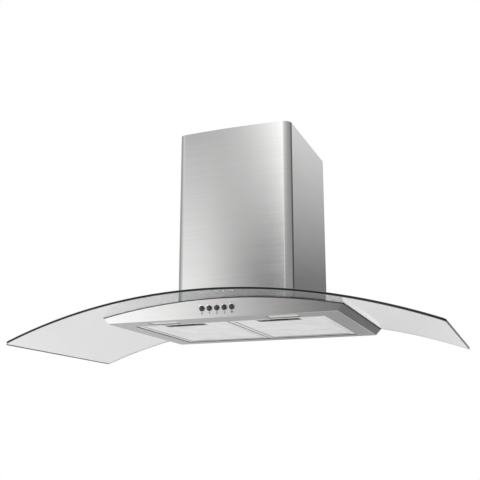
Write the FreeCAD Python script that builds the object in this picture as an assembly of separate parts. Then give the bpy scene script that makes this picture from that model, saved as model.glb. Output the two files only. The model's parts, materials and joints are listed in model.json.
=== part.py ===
import FreeCAD, Part
import math
import os

# Curved glass chimney hood, 90 cm.
# Millimetres. X runs to the right, Y into the wall, Z up.
# While the pieces are built, z = 0 is the canopy's flat underside and y = 0 is
# the wall. The finished pieces are lowered by wall_fixing_height, so that the
# origin is the middle of the four wall fixing holes, on the wall plane.

V = FreeCAD.Vector

# ---------------------------------------------------------------- sheet metal
steel_sheet = 1.0
deck_sheet = 1.2
back_plate_sheet = 1.5
running_gap = 0.05        # radial, a shaft or pin in its bore
moving_gap = 0.3          # any other piece that moves past its neighbour
overshoot = 20.0          # how far a cutting tool runs past what it cuts

# ---------------------------------------------------------------- bent glass
glass_width = 900.0
glass_depth = 444.0
glass_thickness = 5.0
glass_bend_radius = 1282.0      # underside, bent about an axis along Y
glass_crown_height = 40.0       # underside at the middle, above the canopy underside
glass_front_bow = 14.0          # how far the front edge bows out in plan
glass_corner_radius = 9.0
glass_wall_gap = 2.0
glass_notch_gap = 4.0           # round the fan housing
seal_height = 2.0
seal_width = 8.0

# ---------------------------------------------------------------- canopy
canopy_width = 490.0            # at the underside
canopy_depth = 362.0            # at the underside
front_lean = math.radians(7.5)  # the front panel leans out towards its top
side_lean = math.radians(42.7)
canopy_fold_radius = 1.5        # outside, where the shell's sheet is folded
canopy_side_band = 37.0         # flat underside beside the filters
canopy_front_band = 49.0        # flat underside in front of the filters
filter_opening_back = 31.0      # from the wall
opening_lip = 6.0

filter_opening_width = canopy_width - 2 * canopy_side_band
filter_opening_front = canopy_depth - canopy_front_band         # from the wall

# ---------------------------------------------------------------- grease filters
filter_gap = 2.0                # to the edges of the opening
filter_split = 3.0              # between the two filters
filter_recess = 1.0             # of the filters' faces above the canopy underside
filter_height = 9.0
filter_rim = 10.0
filter_sheet = 1.5
filter_window_radius = 8.0
mesh_layer_count = 4
mesh_layer_thickness = 0.6
filter_hinge_radius = 1.2       # the rounded rear edge that a filter tilts on
tongue_width = 20.0
tongue_length = 9.0
tongue_thickness = 1.2
tongue_height = 0.6             # underside of a tongue above the filter's face
tongue_spacing = 120.0
centre_bar_width = 16.0
centre_bar_foot = 9.0

# ---------------------------------------------------------------- filter handle
handle_width = 86.0             # at the face of the filter
handle_floor_width = 60.0
handle_length = 28.0
handle_sheet = 0.8
handle_flange = 3.0
handle_flange_sheet = 0.5
latch_width = 40.0
latch_thickness = 2.4
latch_reach = 28.0
latch_lip = 2.0                 # thickness of the lip that a finger pulls
latch_lip_height = 0.4          # of the lip's lower edge above the filter's face
latch_nose = 0.7                # how far the latch stands out of the filter
latch_height = 1.5              # above the sheet of the filter's face

# ---------------------------------------------------------------- lamps
lamp_length = 62.0
lamp_width = 30.0
lamp_offset = 129.0             # from the middle of the canopy
lamp_from_wall = filter_opening_front + 22.0
lens_thickness = 1.5            # of the lens that lies on the canopy's sheet
lens_border = 2.0
lamp_wall = 2.0
lamp_holder_height = 14.0
led_board_thickness = 1.2

# ---------------------------------------------------------------- push buttons
button_names = ["button_off", "button_speed_1", "button_speed_2",
                "button_speed_3", "button_light"]
button_pitch = 16.0
button_radius = 5.5
button_height = 20.5            # above the canopy underside
button_proud = 2.6
button_cap_length = 7.5
button_stem = 6.0               # side of the square stem behind the cap
button_stem_length = 7.0
button_travel = 3.0
switch_margin = 11.0
switch_wall = 2.0
switch_height = 20.0

# ---------------------------------------------------------------- volute and fan
fan_height = 150.0
volute_width = 116.0
volute_wall = 2.0
volute_tongue_angle = 75.0
volute_tongue_gap = 8.0         # from the wheel to the tongue
volute_growth = 25.0            # how much further out the spiral ends
volute_tongue_wrap = 5.0        # degrees, rounds the tongue of the outer skin
volute_flange = 10.0
wheel_radius = 75.0
wheel_width = 96.0
wheel_disc = 2.0
wheel_disc_grip = 2.0           # how far the blades are let into the rim of the disc
wheel_ring_thickness = 1.5
hub_radius = 12.0
hub_length = 20.0
blade_count = 24
blade_depth = 15.0
blade_thickness = 1.0
blade_camber = 2.6
blade_sweep = 7.0               # degrees that a blade leans forward over its chord
blade_facets = 3                # flats that stand for the blade's curve
shaft_radius = 4.0
shaft_in_motor = 28.0
motor_stack = 72.0              # side of the square stack of laminations
motor_stack_length = 32.0
motor_bell_radius = 30.0        # to the corners of an eight-sided end bell
motor_bell_length = 11.0
motor_gap = 9.0                 # from the wheel's hub to the motor
motor_strap = 3.0               # sheet of the two straps that hold the motor
motor_strap_width = 12.0
motor_strap_half = 68.0         # half of a strap's length
motor_grip_half = 16.0
wheel_inner_radius = wheel_radius - blade_depth
inlet_radius = wheel_inner_radius
volute_tongue_radius = wheel_radius + volute_tongue_gap
volute_outlet_radius = volute_tongue_radius + volute_growth

# ---------------------------------------------------------------- outlet
spigot_radius = 59.5            # outside, for a 120 mm duct
spigot_wall = 2.0
spigot_length = 45.0
collar_flange_reach = 10.5      # of its square flange beyond the spigot
collar_flange_thickness = 2.5
collar_rib = 3.0                # the rib across the collar that the flaps rest on
flap_pin_radius = 1.5
flap_pin_height = 25.0          # above the top of the fan housing
flap_thickness = 1.2
flap_wall_gap = 1.5
flap_hinge_gap = 4.0            # from the pin's axis to the plate of a flap
flap_barrel_wall = 1.1
flap_barrel_length = 40.0
outlet_wall_gap = 5.0           # from the collar's flange to the wall
volute_outlet_inset = 2.5       # of the volute's mouth in from the collar's bore
outlet_from_wall = spigot_radius + collar_flange_reach + outlet_wall_gap
volute_outlet_depth = 2 * (spigot_radius - spigot_wall - volute_outlet_inset)
fan_from_wall = outlet_from_wall + volute_outlet_radius - volute_outlet_depth / 2

# ---------------------------------------------------------------- fan housing
housing_front_gap = 4.0         # from the volute to the front of the housing
housing_depth = fan_from_wall + volute_outlet_radius + housing_front_gap
housing_top = 300.0
air_hole_margin = 12.0          # width of the housing's foot flange
back_plate_bottom = 80.0
back_plate_gap = 2.0            # to the turned-in flanges of the chimney
wall_hole_radius = 3.0
wall_hole_edge = 7.0            # from a hole to the side edge of the back plate
wall_hole_end = 30.0            # from a hole to the top or bottom of the back plate
wall_hole_gap = 3.0             # from a hole to the side of the housing

# ---------------------------------------------------------------- chimney
chimney_width = 262.0
chimney_front_gap = 43.0        # from the fan housing to the front of the chimney
chimney_depth = housing_depth + chimney_front_gap
chimney_top = 437.0
chimney_front_bow = 6.0
chimney_corner_radius = 17.0
chimney_back_flange = 12.0
chimney_gap = 0.8               # between the outer and the inner chimney
chimney_foot_length = 20.0
chimney_foot_reach = 15.0
chimney_foot_from_wall = [40.0, 220.0]
upper_chimney_foot_gap = 6.0    # above the glass at its crown
upper_chimney_setback = 4.0     # below the top of the outer chimney
vent_slot_count = 5             # in either side of the inner chimney
vent_slot_length = 70.0
vent_slot_height = 5.0
vent_slot_pitch = 12.0
vent_slot_top = 46.0            # from the first slot to the inner chimney's top
vent_slot_from_wall = 140.0     # to the middle of a slot
bracket_height = 24.0
bracket_drop = 6.0
bracket_hole_spacing = 180.0
bracket_hole_radius = 2.5
bracket_arm_length = 25.0
bracket_step = 5.0
bracket_side_gap = 1.0          # to the turned-in flanges of the outer chimney

# ---------------------------------------------------------------- electrical box
terminal_box_width = 90.0
terminal_box_depth = 34.0
terminal_box_height = 66.0
terminal_box_wall = 2.0
terminal_block_length = 44.0
terminal_block_width = 18.0
terminal_block_height = 14.0
terminal_block_rib = 1.5
terminal_count = 4
gland_radius = 9.0              # to the corners of its hexagon
gland_length = 16.0
gland_neck_radius = 6.5
gland_bore_radius = 4.2
gland_from_side = 14.0          # from the gland's axis to the side of the box
capacitor_width = 48.0
capacitor_depth = 20.0
capacitor_height = 34.0
capacitor_ear = 12.0
capacitor_ear_sheet = 2.0
capacitor_gap = 2.0             # to the side and the top of the fan housing

# ---------------------------------------------------------------- what follows from them
glass_axis_height = glass_crown_height - glass_bend_radius
glass_top_radius = glass_bend_radius + glass_thickness
rim_radius = glass_bend_radius - seal_height
deck_under_radius = rim_radius - deck_sheet
filter_width = (filter_opening_width - filter_split) / 2 - filter_gap
filter_middle = (filter_split + filter_width) / 2
filter_back = filter_opening_back + filter_gap
filter_front = filter_opening_front - filter_gap
handle_front = filter_front - filter_rim
handle_depth = filter_height - 2 * filter_sheet - handle_sheet
latch_bottom = filter_sheet + latch_height
side_plate_x = volute_width / 2
upper_chimney_bottom = glass_crown_height + glass_thickness + upper_chimney_foot_gap
back_plate_width = chimney_width - 2 * (chimney_back_flange + back_plate_gap)
wall_hole_x = back_plate_width / 2 - wall_hole_edge
wall_hole_heights = [back_plate_bottom + wall_hole_end, housing_top - wall_hole_end]
wall_fixing_height = sum(wall_hole_heights) / 2
housing_width = 2 * (wall_hole_x - wall_hole_radius - wall_hole_gap)
pieces = {}


# ---------------------------------------------------------------- shape helpers
def box(x0, x1, y0, y1, z0, z1):
    return Part.makeBox(x1 - x0, y1 - y0, z1 - z0, V(x0, y0, z0))


def rod(start, direction, radius, length):
    return Part.makeCylinder(radius, length, start, direction)


def prism(points, direction):
    return Part.Face(Part.makePolygon(points + points[:1])).extrude(direction)


def arch_cylinder(radius):
    """Everything inside one radius about the axis that the glass is bent round."""
    start = V(0, -glass_depth - overshoot, glass_axis_height)
    return rod(start, V(0, 1, 0), radius, glass_depth + 2 * overshoot)


def arch_band(inner, outer, x0, x1, y0, y1):
    """A plate bent like the glass, over a rectangle in plan."""
    low = -overshoot * 3
    blank = box(x0, x1, y0, y1, low, glass_crown_height + overshoot)
    return blank.common(arch_cylinder(outer)).cut(arch_cylinder(inner))


def arch_height(radius, x):
    return glass_axis_height + math.sqrt(radius ** 2 - x ** 2)


def rounded_plate(x0, x1, y0, y1, radius, z0, z1):
    plate = box(x0, x1, y0, y1, z0, z1)
    upright = [e for e in plate.Edges if abs(e.Vertexes[0].Z - e.Vertexes[-1].Z) > (z1 - z0) / 2]
    return plate.makeFillet(radius, upright)


def bowed_outline(half, back, front, bow, corner, inset=0.0):
    """A plan with straight sides and back, a front that bows out and rounded front corners.

    half, front, bow and corner describe the outline before it is moved in by inset."""
    sweep = (half ** 2 + bow ** 2) / (2 * bow)
    centre_y = front + sweep
    corner_x = half - corner
    corner_y = centre_y - math.sqrt((sweep - corner) ** 2 - corner_x ** 2)
    turn = math.atan2(corner_y - centre_y, corner_x)
    r = corner - inset

    def on_corner(angle, side):
        x = side * (corner_x + r * math.cos(angle))
        return V(x, corner_y + r * math.sin(angle), 0)

    back_right = V(half - inset, back, 0)
    back_left = V(inset - half, back, 0)
    middle = V(0, front + inset, 0)
    edges = [Part.makeLine(back_left, back_right),
             Part.makeLine(back_right, on_corner(0, 1)),
             Part.Arc(on_corner(0, 1), on_corner(turn / 2, 1), on_corner(turn, 1)).toShape(),
             Part.Arc(on_corner(turn, 1), middle, on_corner(turn, -1)).toShape(),
             Part.Arc(on_corner(turn, -1), on_corner(turn / 2, -1), on_corner(0, -1)).toShape(),
             Part.makeLine(on_corner(0, -1), back_left)]
    return Part.Face(Part.Wire(edges))


def mirrored(shape):
    return shape.mirror(V(0, 0, 0), V(1, 0, 0))


def polygon(centre, radius, count, length):
    """A prism along X whose corners lie on a circle about centre."""
    points = []
    for i in range(count):
        turn = 2 * math.pi * i / count
        points.append(centre + V(0, radius * math.cos(turn), radius * math.sin(turn)))
    return prism(points, V(length, 0, 0))


def stood_on(foot, shape):
    """Stand a piece that runs along X from the origin on the point foot."""
    placed = shape.copy()
    placed.rotate(V(0, 0, 0), V(0, 1, 0), -90)
    placed.translate(foot)
    return placed


# ---------------------------------------------------------------- canopy
def canopy_block(inset, top_radius):
    """The canopy's outer form moved in by inset, closed at the top by an arch."""
    base = canopy_width / 2 - inset / math.cos(side_lean)
    slope = math.tan(side_lean)
    # where the leaning side meets the arch: a quadratic in height
    a = slope ** 2 + 1
    b = base * slope - glass_axis_height
    c = base ** 2 + glass_axis_height ** 2 - top_radius ** 2
    top_z = (-b + math.sqrt(b ** 2 - a * c)) / a
    top_x = base + slope * top_z
    low_x = base + slope * inset
    left_low = V(-low_x, -inset, inset)
    right_low = V(low_x, -inset, inset)
    right_top = V(top_x, -inset, top_z)
    left_top = V(-top_x, -inset, top_z)
    crown = V(0, -inset, glass_axis_height + top_radius)
    edges = [Part.makeLine(left_low, right_low),
             Part.makeLine(right_low, right_top),
             Part.Arc(right_top, crown, left_top).toShape(),
             Part.makeLine(left_top, left_low)]
    form = Part.Face(Part.Wire(edges)).extrude(V(0, -canopy_depth - overshoot, 0))
    return form.common(behind_front_panel(inset))


def front_panel_y(z, inset=0.0):
    return -canopy_depth - z * math.tan(front_lean) + inset / math.cos(front_lean)


def behind_front_panel(inset):
    low = -overshoot
    high = glass_crown_height * 3
    x = -glass_width / 2
    points = [V(x, overshoot, low), V(x, front_panel_y(low, inset), low),
              V(x, front_panel_y(high, inset), high), V(x, overshoot, high)]
    return prism(points, V(glass_width, 0, 0))


def on_front_panel(shape):
    """Place a piece built on the plane y = 0 onto the front panel at the buttons' height."""
    placed = shape.copy()
    placed.rotate(V(0, 0, 0), V(1, 0, 0), math.degrees(front_lean))
    placed.translate(V(0, front_panel_y(button_height), button_height))
    return placed


def button_positions():
    half = (len(button_names) - 1) / 2
    return [(i - half) * button_pitch for i in range(len(button_names))]


def lamp_window(growth, z0, z1):
    half_x = lamp_length / 2 + growth
    half_y = lamp_width / 2 + growth
    return box(lamp_offset - half_x, lamp_offset + half_x,
               -lamp_from_wall - half_y, -lamp_from_wall + half_y, z0, z1)


def folded(block):
    """Round the folds where the canopy's sheet turns under, at its front and sides."""
    folds = []
    for edge in block.Edges:
        ends = [vertex.Point for vertex in edge.Vertexes]
        at_wall = min(end.y for end in ends) > -canopy_depth / 2
        if not at_wall and max(end.z for end in ends) < canopy_fold_radius:
            folds.append(edge)
    return block.makeFillet(canopy_fold_radius, folds)


def make_canopy_shell():
    outside = folded(canopy_block(0, rim_radius))
    shell = outside.cut(canopy_block(steel_sheet, glass_top_radius + overshoot))
    half = filter_opening_width / 2
    front = -filter_opening_front
    back = -filter_opening_back
    lip = box(-half - steel_sheet, half + steel_sheet, front - steel_sheet, back,
              steel_sheet, steel_sheet + opening_lip)
    shell = shell.fuse(lip)
    shell = shell.cut(box(-half, half, front, back, -overshoot, overshoot))
    window = lamp_window(0, -overshoot, overshoot / 2)
    shell = shell.cut(window).cut(mirrored(window))
    for x in button_positions():
        hole = rod(V(x, -overshoot, 0), V(0, 1, 0), button_radius + moving_gap, 2 * overshoot)
        shell = shell.cut(on_front_panel(hole))
    pieces["canopy_shell"] = shell.removeSplitter()


def make_top_deck():
    deck = canopy_block(steel_sheet, rim_radius).cut(canopy_block(steel_sheet, deck_under_radius))
    half = housing_width / 2 - air_hole_margin
    hole = box(-half, half, air_hole_margin - housing_depth, -air_hole_margin,
               -overshoot, glass_crown_height)
    pieces["top_deck"] = deck.cut(hole)


def make_glass_seal():
    seal = canopy_block(0, glass_bend_radius).cut(canopy_block(0, rim_radius))
    seal = seal.cut(canopy_block(seal_width, glass_top_radius))
    notch = housing_width / 2 + glass_notch_gap
    seal = seal.cut(box(-notch, notch, -seal_width, 0, 0, 2 * glass_crown_height))
    pieces["glass_seal"] = seal


# ---------------------------------------------------------------- glass
def make_glass():
    low = arch_height(glass_bend_radius, glass_width / 2) - overshoot
    blank = bowed_outline(glass_width / 2, -glass_wall_gap, -glass_wall_gap - glass_depth,
                          glass_front_bow, glass_corner_radius)
    blank.translate(V(0, 0, low))
    blank = blank.extrude(V(0, 0, 2 * glass_crown_height - low))
    glass = blank.common(arch_cylinder(glass_top_radius)).cut(arch_cylinder(glass_bend_radius))
    notch = housing_width / 2 + glass_notch_gap
    glass = glass.cut(box(-notch, notch, -housing_depth - glass_notch_gap, overshoot, 0,
                          2 * glass_crown_height))
    pieces["glass_canopy"] = glass


# ---------------------------------------------------------------- chimney
def chimney_section(inset):
    """The chimney in plan, moved in by inset on every side."""
    return bowed_outline(chimney_width / 2, -inset, -chimney_depth, chimney_front_bow,
                         chimney_corner_radius, inset)


def chimney_sleeve(inset, z0, z1):
    """A folded sheet sleeve, open at the back between two turned-in flanges."""
    outer = chimney_section(inset)
    inner = chimney_section(inset + steel_sheet)
    face = outer.cut(inner)
    face.translate(V(0, 0, z0))
    sleeve = face.extrude(V(0, 0, z1 - z0))
    gap = chimney_width / 2 - chimney_back_flange
    return sleeve.cut(box(-gap, gap, -inset - 2 * steel_sheet, overshoot, z0 - 1, z1 + 1))


def make_lower_chimney():
    sleeve = chimney_sleeve(0, glass_axis_height + glass_bend_radius - overshoot, chimney_top)
    sleeve = sleeve.cut(arch_cylinder(glass_top_radius))
    half = chimney_width / 2
    for y in chimney_foot_from_wall:
        foot = arch_band(glass_top_radius, glass_top_radius + steel_sheet,
                         half - chimney_foot_reach, half - steel_sheet / 2,
                         -y - chimney_foot_length / 2, -y + chimney_foot_length / 2)
        sleeve = sleeve.fuse(foot).fuse(mirrored(foot))
    pieces["chimney_lower"] = sleeve.removeSplitter()


def bracket_z():
    top = chimney_top - upper_chimney_setback - bracket_drop
    return top - bracket_height, top


def make_upper_chimney():
    """The inner sleeve, with the slots that let cleaned air back into the room."""
    inset = steel_sheet + chimney_gap
    top = chimney_top - upper_chimney_setback
    sleeve = chimney_sleeve(inset, upper_chimney_bottom, top)
    reach = chimney_width / 2 + overshoot
    for i in range(vent_slot_count):
        high = top - vent_slot_top - i * vent_slot_pitch
        sleeve = sleeve.cut(box(-reach, reach, -vent_slot_from_wall - vent_slot_length / 2,
                                -vent_slot_from_wall + vent_slot_length / 2,
                                high - vent_slot_height, high))
    pieces["chimney_upper"] = sleeve


def make_chimney_bracket():
    """The strip that the inner chimney is screwed to, itself screwed to the wall."""
    z0, z1 = bracket_z()
    strip_half = chimney_width / 2 - chimney_back_flange - bracket_side_gap
    side = chimney_width / 2 - 2 * steel_sheet - chimney_gap
    step = 2 * steel_sheet + chimney_gap + bracket_step
    t = back_plate_sheet
    strip = box(-strip_half, strip_half, -t, 0, z0, z1)
    leg = box(strip_half - t, strip_half, -step, 0, z0, z1)
    shelf = box(strip_half - t, side, -step, t - step, z0, z1)
    arm = box(side - t, side, -step - bracket_arm_length, -step, z0, z1)
    hand = leg.fuse([shelf, arm])
    bracket = strip.fuse([hand, mirrored(hand)])
    for x in (-bracket_hole_spacing / 2, bracket_hole_spacing / 2):
        bracket = bracket.cut(rod(V(x, -overshoot, (z0 + z1) / 2), V(0, 1, 0),
                                  bracket_hole_radius, 2 * overshoot))
    pieces["chimney_bracket"] = bracket.removeSplitter()


# ---------------------------------------------------------------- fan housing
def wall_holes():
    holes = []
    for x in (-wall_hole_x, wall_hole_x):
        for z in wall_hole_heights:
            holes.append(rod(V(x, -overshoot, z), V(0, 1, 0), wall_hole_radius, 2 * overshoot))
    return Part.makeCompound(holes)


def make_fan_housing():
    half = housing_width / 2
    s = steel_sheet
    housing = box(-half, half, -housing_depth, 0, 0, housing_top)
    housing = housing.cut(box(s - half, half - s, s - housing_depth, -back_plate_sheet,
                              -1, housing_top - s))
    housing = housing.cut(arch_cylinder(rim_radius))
    foot = arch_band(rim_radius, rim_radius + s, -half, half, -housing_depth, 0)
    air = half - air_hole_margin
    foot = foot.cut(box(-air, air, air_hole_margin - housing_depth, -air_hole_margin,
                        -overshoot, 2 * glass_crown_height))
    ears = box(-back_plate_width / 2, back_plate_width / 2, -back_plate_sheet, 0,
               back_plate_bottom, housing_top)
    housing = housing.fuse([foot, ears])
    housing = housing.cut(wall_holes())
    front, rear = volute_outlet()
    mouth = side_plate_x - volute_wall
    housing = housing.cut(box(-mouth, mouth, front, rear, housing_top - 2 * s,
                              housing_top + s))
    pieces["fan_housing"] = housing.removeSplitter()


# ---------------------------------------------------------------- volute
def spiral_point(angle, offset):
    """A point of the volute's wall, offset outwards from its inner face, in the YZ plane."""
    share = (angle - volute_tongue_angle) / (360 - volute_tongue_angle)
    growth = volute_outlet_radius - volute_tongue_radius
    radius = volute_tongue_radius + growth * share + offset
    turn = math.radians(angle)
    return V(0, -fan_from_wall + radius * math.cos(turn), fan_height + radius * math.sin(turn))


def volute_face(offset):
    """The volute seen along the shaft: a spiral of four arcs and a neck up to the outlet."""
    first = volute_tongue_angle + (volute_tongue_wrap if offset else 0)
    arcs = 4
    step = (360 - first) / arcs
    edges = []
    for i in range(arcs):
        angles = [first + step * (i + part) for part in (0, 0.5, 1)]
        edges.append(Part.Arc(*[spiral_point(a, offset) for a in angles]).toShape())
    tongue = spiral_point(first, offset)
    outlet = spiral_point(360, offset)
    top = housing_top - steel_sheet
    back_top = V(0, outlet.y, top)
    front_top = V(0, volute_outlet()[0] - offset, top)
    edges.append(Part.makeLine(outlet, back_top))
    edges.append(Part.makeLine(back_top, front_top))
    edges.append(Part.makeLine(front_top, tongue))
    return Part.Face(Part.Wire(edges))


def volute_outlet():
    """Where the outlet starts and ends along Y."""
    rear = spiral_point(360, 0).y
    return rear - volute_outlet_depth, rear


def make_volute():
    outer = volute_face(volute_wall).extrude(V(side_plate_x, 0, 0))
    inner = volute_face(0).extrude(V(side_plate_x - volute_wall, 0, 0))
    flange_top = housing_top - steel_sheet
    front, rear = volute_outlet()
    flange = box(0, side_plate_x + volute_flange, front - volute_flange, rear + volute_flange,
                 flange_top - volute_wall, flange_top)
    half = outer.fuse(flange).cut(inner)
    half = half.cut(polygon(V(0, -fan_from_wall, fan_height), inlet_radius, blade_count,
                            2 * side_plate_x))
    half = half.removeSplitter()
    pieces["volute_right"] = half
    pieces["volute_left"] = mirrored(half)


# ---------------------------------------------------------------- fan wheel
def blade_face():
    """One forward-curved blade seen along the shaft, between the wheel's two radii."""
    lean = math.radians(blade_sweep)
    rim = wheel_radius * math.cos(math.pi / blade_count) - blade_thickness
    root = V(0, wheel_inner_radius, 0)
    tip = V(0, rim * math.cos(lean), rim * math.sin(lean))
    chord = tip - root
    normal = V(0, -chord.z, chord.y)
    normal.normalize()
    hollow = []
    for i in range(blade_facets + 1):
        share = i / blade_facets
        sag = 4 * blade_camber * share * (1 - share)
        hollow.append(root + chord * share - normal * sag)
    back = [point + normal * blade_thickness for point in reversed(hollow)]
    return Part.Face(Part.makePolygon(hollow + back + hollow[:1]))


def blades():
    """All the blades, each as long as the space between the wheel's two rings."""
    length = wheel_width - 2 * wheel_ring_thickness
    first = blade_face()
    first.translate(V(-length / 2, 0, 0))
    first = first.extrude(V(length, 0, 0))
    copies = []
    for i in range(blade_count):
        copy = first.copy()
        copy.rotate(V(0, 0, 0), V(1, 0, 0), i * 360.0 / blade_count)
        copies.append(copy)
    return copies


def make_fan_wheel():
    """A double-inlet wheel: a disc inside one set of blades, with a ring at either end."""
    along = V(1, 0, 0)
    half = wheel_width / 2
    disc = polygon(V(-wheel_disc / 2, 0, 0), wheel_inner_radius + wheel_disc_grip, blade_count,
                   wheel_disc)
    parts = [rod(V(-hub_length / 2, 0, 0), along, hub_radius, hub_length)]
    for start in (-half, half - wheel_ring_thickness):
        ring = polygon(V(start, 0, 0), wheel_radius, blade_count, wheel_ring_thickness)
        parts.append(ring.cut(polygon(V(start, 0, 0), wheel_inner_radius, blade_count,
                                      wheel_ring_thickness)))
    wheel = disc.multiFuse(parts + blades())
    wheel = wheel.cut(rod(V(-wheel_width, 0, 0), along, shaft_radius, 2 * wheel_width))
    wheel.translate(V(0, -fan_from_wall, fan_height))
    pieces["fan_wheel"] = wheel.removeSplitter()


def motor_start():
    return hub_length / 2 + motor_gap


def make_motor():
    """An open-frame motor: a square stack of laminations between two end bells."""
    along = V(1, 0, 0)
    axis = V(0, -fan_from_wall, fan_height)
    start = motor_start()
    length = 2 * motor_bell_length + motor_stack_length
    bells = polygon(axis + along * start, motor_bell_radius, 8, length)
    side = motor_stack / 2
    stack = box(start + motor_bell_length, start + motor_bell_length + motor_stack_length,
                axis.y - side, axis.y + side, axis.z - side, axis.z + side)
    bore = rod(axis + along * (start - 1), along, shaft_radius + running_gap,
               shaft_in_motor + 1 + moving_gap)
    pieces["motor"] = bells.fuse(stack).cut(bore).removeSplitter()
    tip = axis - along * (hub_length / 2)
    pieces["motor_shaft"] = rod(tip, along, shaft_radius, hub_length / 2 + start + shaft_in_motor)


def make_motor_bracket():
    """Two straps across the volute's right-hand inlet, folded to grip the motor's stack."""
    face = side_plate_x
    start = motor_start() + motor_bell_length
    near = motor_stack / 2
    z = fan_height
    straps = []
    for side in (-1, 1):
        y = [-fan_from_wall + side * near, -fan_from_wall + side * (near + motor_strap_width),
             -fan_from_wall + side * (near + motor_strap)]
        strap = box(face, face + motor_strap, min(y[:2]), max(y[:2]),
                    z - motor_strap_half, z + motor_strap_half)
        grip = box(start, face + motor_strap, min(y[0], y[2]), max(y[0], y[2]),
                   z - motor_grip_half, z + motor_grip_half)
        straps.append(strap.fuse(grip).removeSplitter())
    pieces["motor_bracket"] = Part.makeCompound(straps)


# ---------------------------------------------------------------- outlet collar and flaps
def outlet_point(height):
    return V(0, -outlet_from_wall, housing_top + height)


def make_outlet_collar():
    up = V(0, 0, 1)
    bore = spigot_radius - spigot_wall
    half = spigot_radius + collar_flange_reach
    foot = outlet_point(0)
    collar = rod(foot, up, spigot_radius, spigot_length)
    collar = collar.fuse(box(-half, half, foot.y - half, foot.y + half, foot.z,
                             foot.z + collar_flange_thickness))
    collar = collar.cut(rod(outlet_point(-1), up, bore, spigot_length + 2))
    rib_top = outlet_point(flap_pin_height - flap_thickness / 2 - moving_gap).z
    rib = box(-collar_rib / 2, collar_rib / 2, foot.y - spigot_radius + spigot_wall / 2,
              foot.y + spigot_radius - spigot_wall / 2, rib_top - collar_rib, rib_top)
    rib = rib.cut(rod(outlet_point(flap_pin_height) - V(collar_rib, 0, 0), V(1, 0, 0),
                      flap_pin_radius + running_gap, 2 * collar_rib))
    pieces["outlet_collar"] = collar.fuse(rib).removeSplitter()


def make_flap_pin():
    """The pin that both flaps turn on: ends on the collar's wall, middle in the rib."""
    bore = rod(outlet_point(0), V(0, 0, 1), spigot_radius - spigot_wall, spigot_length)
    start = outlet_point(flap_pin_height) - V(spigot_radius, 0, 0)
    pin = rod(start, V(1, 0, 0), flap_pin_radius, 2 * spigot_radius)
    pieces["flap_pin"] = pin.common(bore)


def flap(side):
    """A half-disc flap with a hinge barrel round the pin; side -1 lies towards -Y."""
    axis = outlet_point(flap_pin_height)
    radius = spigot_radius - spigot_wall - flap_wall_gap
    half = flap_thickness / 2
    disc = rod(axis - V(0, 0, half), V(0, 0, 1), radius, flap_thickness)
    edges = sorted([axis.y + side * flap_hinge_gap, axis.y + side * (radius + 1)])
    plate = disc.common(box(-radius, radius, edges[0], edges[1], axis.z - half, axis.z + half))
    bore = flap_pin_radius + running_gap
    outer = bore + flap_barrel_wall
    inner_end = collar_rib / 2 + moving_gap
    x0, x1 = sorted([side * inner_end, side * (inner_end + flap_barrel_length)])
    barrel = box(x0, x1, axis.y - outer, axis.y + outer, axis.z - outer, axis.z + outer)
    reach = sorted([axis.y, axis.y + side * flap_hinge_gap])
    arm = box(x0, x1, reach[0], reach[1], axis.z - half, axis.z + half)
    shape = plate.multiFuse([barrel, arm])
    pin_bore = rod(V(-radius, axis.y, axis.z), V(1, 0, 0), bore, 2 * radius)
    return shape.cut(pin_bore).removeSplitter()


def make_flaps():
    pieces["flap_front"] = flap(-1)
    pieces["flap_rear"] = flap(1)


# ---------------------------------------------------------------- electrical pieces
def make_terminal_box():
    """A box that stands on the housing, its cover to the front and the gland on top."""
    half = terminal_box_width / 2
    wall = terminal_box_wall
    front = -housing_depth + wall
    back = front + terminal_box_depth
    low = housing_top
    high = housing_top + terminal_box_height
    tray = box(-half, half, front, back, low, high)
    tray = tray.cut(box(wall - half, half - wall, front - 1, back - wall, low + wall, high - wall))
    entry = V(gland_from_side - half, (front + back) / 2, high - wall)
    neck = stood_on(entry, polygon(V(0, 0, 0), gland_neck_radius, 6, gland_length + wall))
    pieces["terminal_box"] = tray.cut(neck)
    lid = box(-half, half, front - wall, front, low, high)
    lip = box(wall - half, half - wall, front, front + 2 * wall, low + wall, high - wall)
    lip = lip.cut(box(2 * wall - half, half - 2 * wall, front, front + 2 * wall,
                      low + 2 * wall, high - 2 * wall))
    pieces["terminal_box_cover"] = lid.fuse(lip).removeSplitter()
    nut = stood_on(entry, polygon(V(wall, 0, 0), gland_radius, 6, gland_length))
    gland = nut.fuse(neck)
    gland = gland.cut(rod(entry, V(0, 0, 1), gland_bore_radius, gland_length + wall))
    pieces["cable_gland"] = gland.removeSplitter()
    block_low = (low + high - terminal_block_width) / 2
    block_back = back - wall
    block_front = block_back - terminal_block_height
    block = box(-terminal_block_length / 2, terminal_block_length / 2, block_front, block_back,
                block_low, block_low + terminal_block_width)
    pitch = terminal_block_length / terminal_count
    rib = terminal_block_rib
    for i in range(terminal_count):
        x = -terminal_block_length / 2 + pitch * i
        block = block.cut(box(x + rib, x + pitch - rib, block_front, block_front
                              + terminal_block_height / 2, block_low + rib,
                              block_low + terminal_block_width - rib))
    pieces["terminal_block"] = block


def make_capacitor():
    """A box-shaped motor capacitor with a screw ear, on the inside of the housing's front."""
    x = steel_sheet + capacitor_gap - housing_width / 2
    y = steel_sheet - housing_depth
    high = housing_top - steel_sheet - capacitor_gap
    low = high - capacitor_height
    body = box(x, x + capacitor_width, y, y + capacitor_depth, low, high)
    middle = x + capacitor_width / 2
    ear = box(middle - capacitor_ear / 2, middle + capacitor_ear / 2, y, y + capacitor_ear_sheet,
              low - capacitor_ear, low)
    pieces["capacitor"] = body.fuse(ear)


# ---------------------------------------------------------------- push buttons
def square_bar(x, side, y0, y1):
    return box(x - side / 2, x + side / 2, y0, y1, -side / 2, side / 2)


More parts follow.
